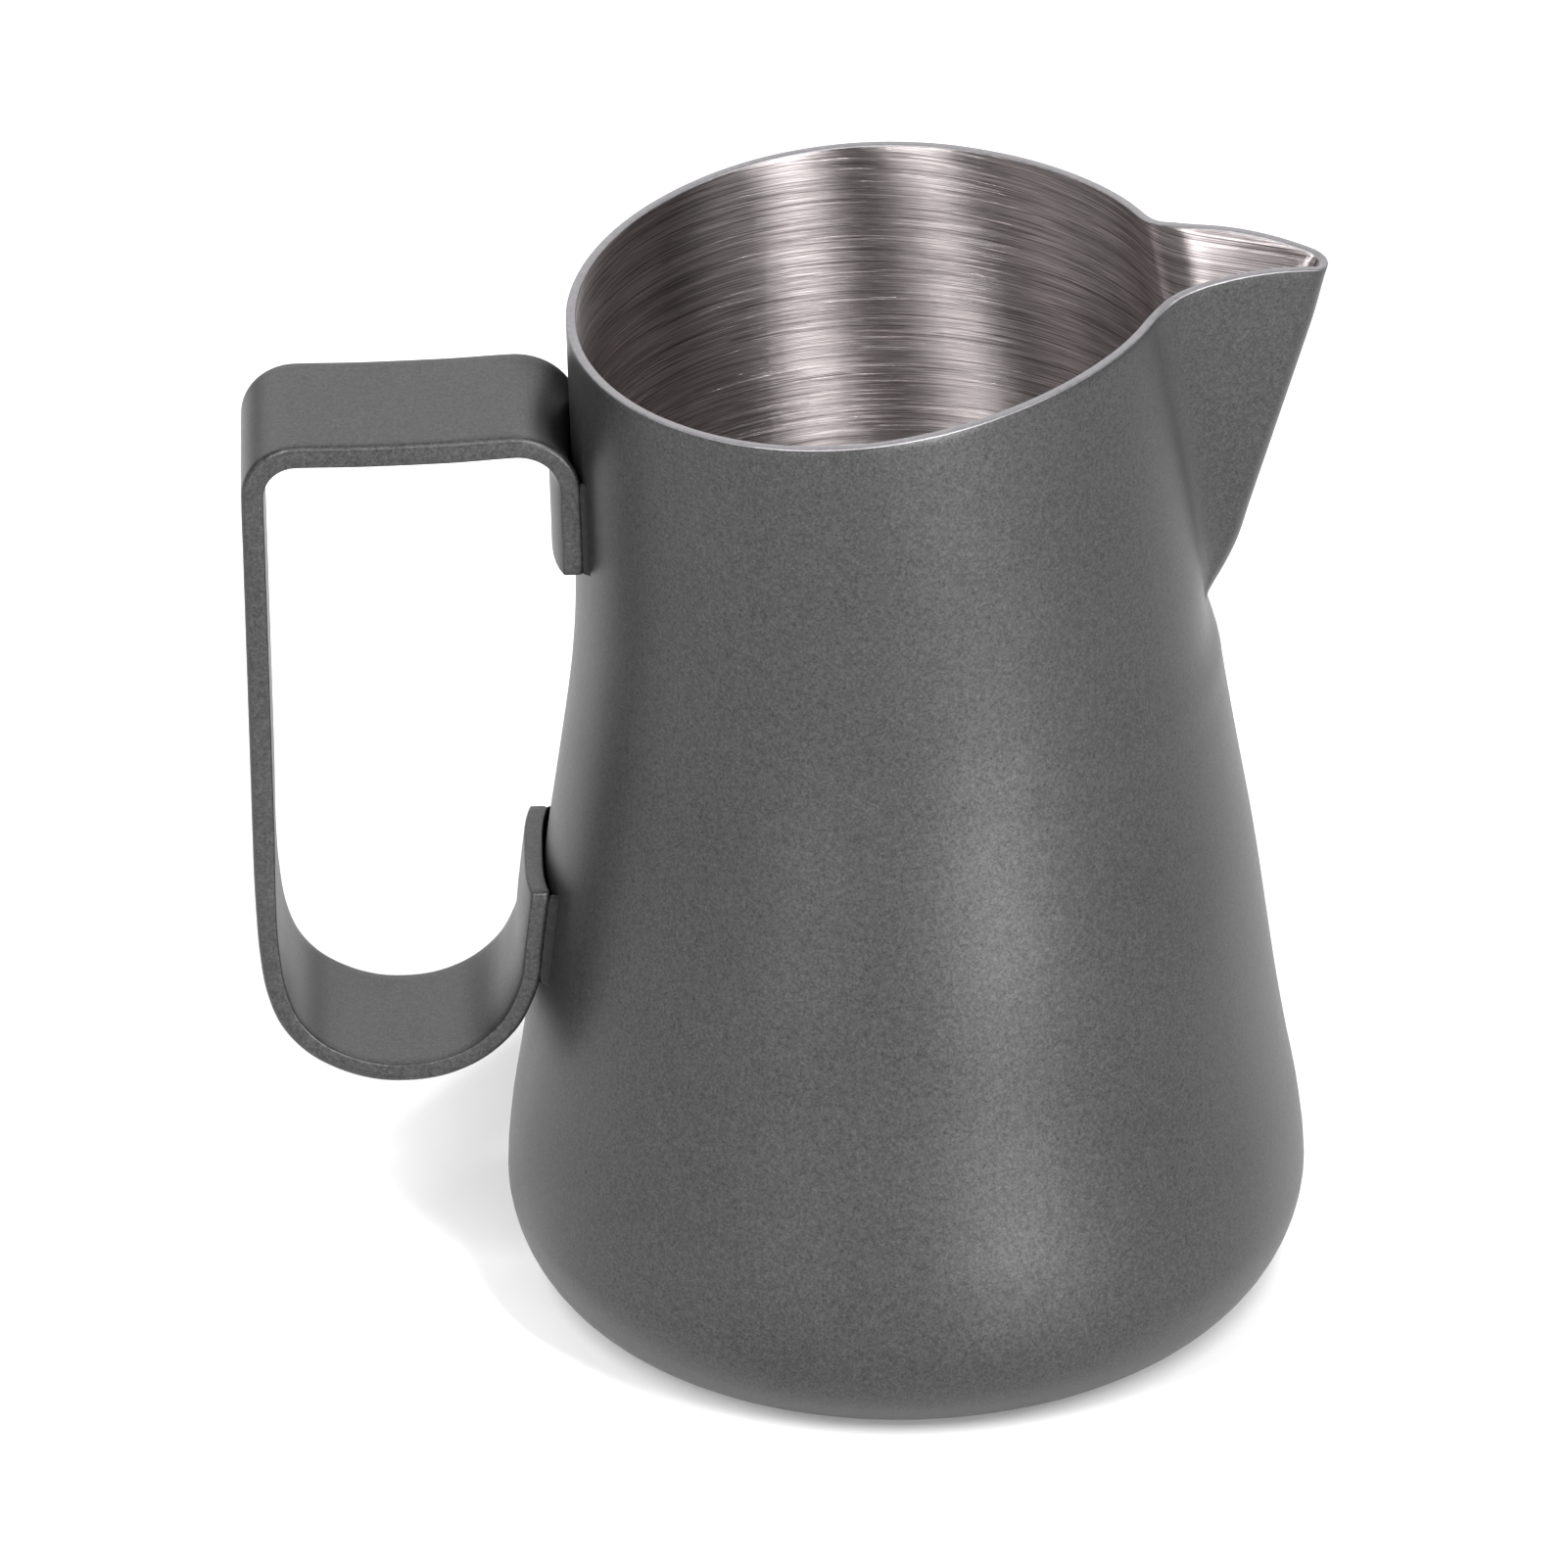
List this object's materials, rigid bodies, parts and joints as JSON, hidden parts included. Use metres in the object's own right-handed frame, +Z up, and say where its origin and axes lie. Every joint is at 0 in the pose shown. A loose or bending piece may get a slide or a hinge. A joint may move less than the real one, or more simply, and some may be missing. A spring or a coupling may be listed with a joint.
{
  "type": "milk frothing pitcher",
  "caption": "Coated steel milk frothing pitcher: bell-shaped drawn cup with a pressed pouring spout and a bent flat strap handle welded at two tabs",
  "frame": {"origin": "centre of the flat base, on the cup's axis", "axes": "+Z up along the cup's axis, +X towards the spout, -X towards the handle, symmetric about y = 0"},
  "size_m": [0.1212, 0.09, 0.1278],
  "materials": {
    "coated_body": "satin charcoal metallic powder coat outside, brushed bare steel inside and on the rim",
    "coated_strap": "satin charcoal metallic powder coat",
    "coated_weld": "satin charcoal metallic powder coat over the weld"
  },
  "bodies": {
    "root": {"body_shell": "coated_body", "handle_strap": "coated_strap", "upper_tab_weld_front": "coated_weld", "upper_tab_weld_back": "coated_weld", "lower_tab_weld_front": "coated_weld", "lower_tab_weld_back": "coated_weld"}
  },
  "joints": []
}
